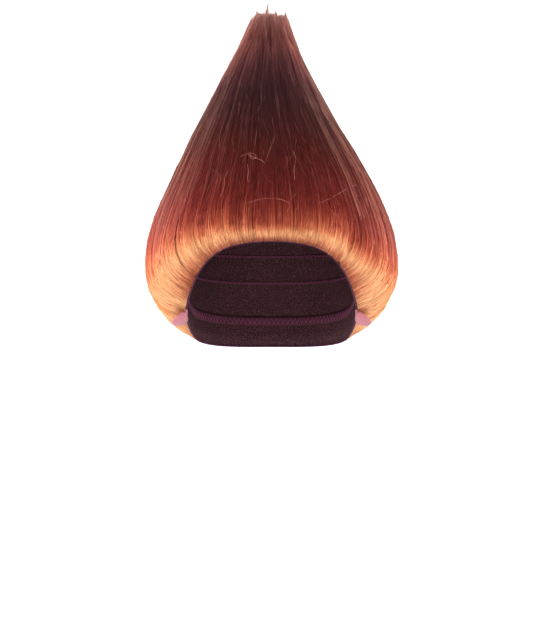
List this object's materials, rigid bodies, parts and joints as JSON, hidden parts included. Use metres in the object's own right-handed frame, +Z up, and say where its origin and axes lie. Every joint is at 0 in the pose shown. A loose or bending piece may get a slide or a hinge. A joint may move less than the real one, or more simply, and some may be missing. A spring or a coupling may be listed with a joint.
{
  "type": "pointed troll wig",
  "caption": "Upright pointed costume wig: open cloth cap with a bound edge and two ear tabs, hair swept up from the edge to a ragged tip.",
  "frame": {"origin": "the top of the cap's inner face, where the crown of a head meets it", "axes": "+Z up towards the tip, -Y out of the face side, +X to the wearer's left"},
  "size_m": [0.2278, 0.2369, 0.3078],
  "materials": {
    "cap_net": "matt knitted net with sewn wefts",
    "binding_elastic": "dark purple elastic binding",
    "tab_cloth": "mauve pink felted cloth",
    "swept_fibre": "satin synthetic hair, copper at the root and mahogany above",
    "crown_fibre": "satin synthetic hair, dark plum with browner ends"
  },
  "bodies": {
    "root": {"cap": "cap_net", "edge_binding": "binding_elastic", "ear_tab_left": "tab_cloth", "ear_tab_right": "tab_cloth", "swept_hair": "swept_fibre", "crown_hair": "crown_fibre"}
  },
  "joints": []
}
